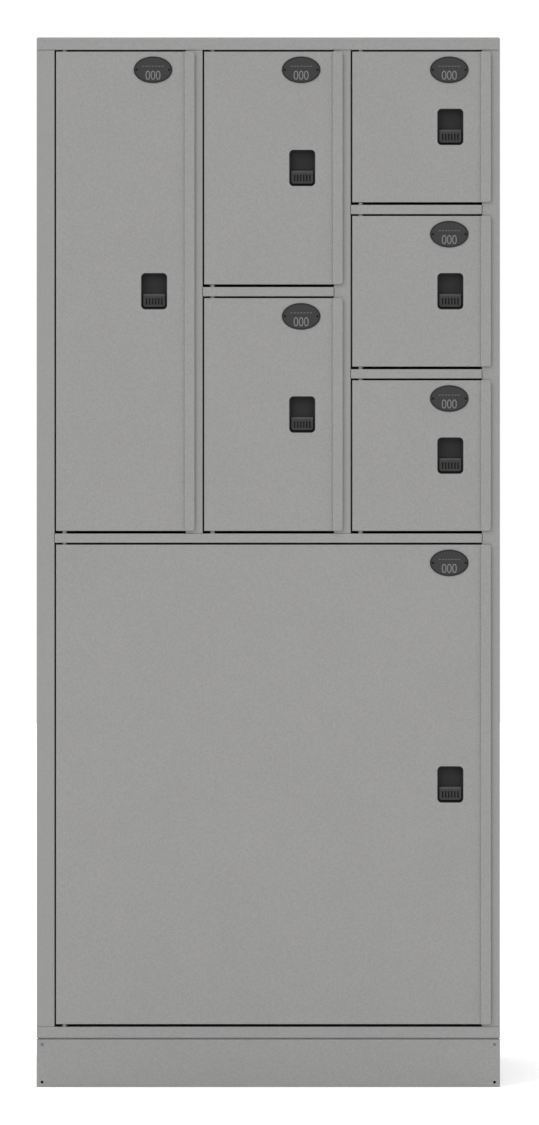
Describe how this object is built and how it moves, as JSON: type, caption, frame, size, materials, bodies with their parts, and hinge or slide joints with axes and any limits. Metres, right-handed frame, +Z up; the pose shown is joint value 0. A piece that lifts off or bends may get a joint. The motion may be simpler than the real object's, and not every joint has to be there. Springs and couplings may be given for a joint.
{
  "type": "parcel locker",
  "caption": "Floor-standing steel parcel locker with framed, left-hinged doors of several sizes, each with a recessed slide latch and an oval number plate, on a plinth.",
  "frame": {"origin": "on the floor, at the middle of the bounding box's underside", "axes": "+X to the right seen from the front, +Y to the back, +Z up"},
  "size_m": [0.851, 0.61, 1.928],
  "materials": {
    "grey_powder_coat": "light grey powder coat, fine orange-peel texture, satin",
    "painted_pin": "grey painted steel pin",
    "zinc_steel": "bright zinc-plated steel",
    "dark_screw": "darkened screw head",
    "black_rubber": "moulded rubber",
    "black_plate": "black anodised look, satin, with pale numerals",
    "black_rivet": "black rivet",
    "black_plastic": "fine-textured moulded nylon",
    "black_slide": "fine-textured moulded nylon"
  },
  "bodies": {
    "cabinet": {"left_side_panel": "grey_powder_coat", "right_side_panel": "grey_powder_coat", "top_panel": "grey_powder_coat", "base_panel": "grey_powder_coat", "back_panel": "grey_powder_coat", "left_divider": "grey_powder_coat", "right_divider": "grey_powder_coat", "middle_shelf": "grey_powder_coat", "centre_column_shelf": "grey_powder_coat", "right_column_upper_shelf": "grey_powder_coat", "right_column_lower_shelf": "grey_powder_coat", "plinth_front": "grey_powder_coat", "plinth_frame": "grey_powder_coat", "levelling_feet": "zinc_steel", "plinth_screws": "dark_screw", "hinge_pins": "painted_pin", "strike_plates": "zinc_steel", "door_buffers": "black_rubber"},
    "door_1": {"door_1_panel": "grey_powder_coat", "door_1_number_plate": "black_plate", "door_1_latch_housing": "black_plastic", "door_1_fasteners": "black_rivet"},
    "latch_1": {"door_1_latch_slide": "black_slide", "door_1_latch_bar": "zinc_steel"},
    "door_2": {"door_2_panel": "grey_powder_coat", "door_2_number_plate": "black_plate", "door_2_latch_housing": "black_plastic", "door_2_fasteners": "black_rivet"},
    "latch_2": {"door_2_latch_slide": "black_slide", "door_2_latch_bar": "zinc_steel"},
    "door_3": {"door_3_panel": "grey_powder_coat", "door_3_number_plate": "black_plate", "door_3_latch_housing": "black_plastic", "door_3_fasteners": "black_rivet"},
    "latch_3": {"door_3_latch_slide": "black_slide", "door_3_latch_bar": "zinc_steel"},
    "door_4": {"door_4_panel": "grey_powder_coat", "door_4_number_plate": "black_plate", "door_4_latch_housing": "black_plastic", "door_4_fasteners": "black_rivet"},
    "latch_4": {"door_4_latch_slide": "black_slide", "door_4_latch_bar": "zinc_steel"},
    "door_5": {"door_5_panel": "grey_powder_coat", "door_5_number_plate": "black_plate", "door_5_latch_housing": "black_plastic", "door_5_fasteners": "black_rivet"},
    "latch_5": {"door_5_latch_slide": "black_slide", "door_5_latch_bar": "zinc_steel"},
    "door_6": {"door_6_panel": "grey_powder_coat", "door_6_number_plate": "black_plate", "door_6_latch_housing": "black_plastic", "door_6_fasteners": "black_rivet"},
    "latch_6": {"door_6_latch_slide": "black_slide", "door_6_latch_bar": "zinc_steel"},
    "door_7": {"door_7_panel": "grey_powder_coat", "door_7_number_plate": "black_plate", "door_7_latch_housing": "black_plastic", "door_7_fasteners": "black_rivet"},
    "latch_7": {"door_7_latch_slide": "black_slide", "door_7_latch_bar": "zinc_steel"}
  },
  "joints": [
    {"name": "door_1_hinge", "type": "hinge", "parent": "cabinet", "child": "door_1", "pos_m": [-0.3745, -0.2942, 1.46075], "axis": [0, 0, -1], "range_deg": [0, 120]},
    {"name": "latch_1_slide", "type": "slide", "parent": "door_1", "child": "latch_1", "axis": [0, 0, 1], "range_m": [-0.003, 0.012]},
    {"name": "door_2_hinge", "type": "hinge", "parent": "cabinet", "child": "door_2", "pos_m": [-0.1025, -0.2942, 1.68712], "axis": [0, 0, -1], "range_deg": [0, 120]},
    {"name": "latch_2_slide", "type": "slide", "parent": "door_2", "child": "latch_2", "axis": [0, 0, 1], "range_m": [-0.003, 0.012]},
    {"name": "door_3_hinge", "type": "hinge", "parent": "cabinet", "child": "door_3", "pos_m": [-0.1025, -0.2942, 1.23438], "axis": [0, 0, -1], "range_deg": [0, 120]},
    {"name": "latch_3_slide", "type": "slide", "parent": "door_3", "child": "latch_3", "axis": [0, 0, 1], "range_m": [-0.003, 0.012]},
    {"name": "door_4_hinge", "type": "hinge", "parent": "cabinet", "child": "door_4", "pos_m": [0.1695, -0.2942, 1.76258], "axis": [0, 0, -1], "range_deg": [0, 120]},
    {"name": "latch_4_slide", "type": "slide", "parent": "door_4", "child": "latch_4", "axis": [0, 0, 1], "range_m": [-0.003, 0.012]},
    {"name": "door_5_hinge", "type": "hinge", "parent": "cabinet", "child": "door_5", "pos_m": [0.1695, -0.2942, 1.46075], "axis": [0, 0, -1], "range_deg": [0, 120]},
    {"name": "latch_5_slide", "type": "slide", "parent": "door_5", "child": "latch_5", "axis": [0, 0, 1], "range_m": [-0.003, 0.012]},
    {"name": "door_6_hinge", "type": "hinge", "parent": "cabinet", "child": "door_6", "pos_m": [0.1695, -0.2942, 1.15892], "axis": [0, 0, -1], "range_deg": [0, 120]},
    {"name": "latch_6_slide", "type": "slide", "parent": "door_6", "child": "latch_6", "axis": [0, 0, 1], "range_m": [-0.003, 0.012]},
    {"name": "door_7_hinge", "type": "hinge", "parent": "cabinet", "child": "door_7", "pos_m": [-0.3745, -0.2942, 0.555], "axis": [0, 0, -1], "range_deg": [0, 120]},
    {"name": "latch_7_slide", "type": "slide", "parent": "door_7", "child": "latch_7", "axis": [0, 0, 1], "range_m": [-0.003, 0.012]}
  ]
}
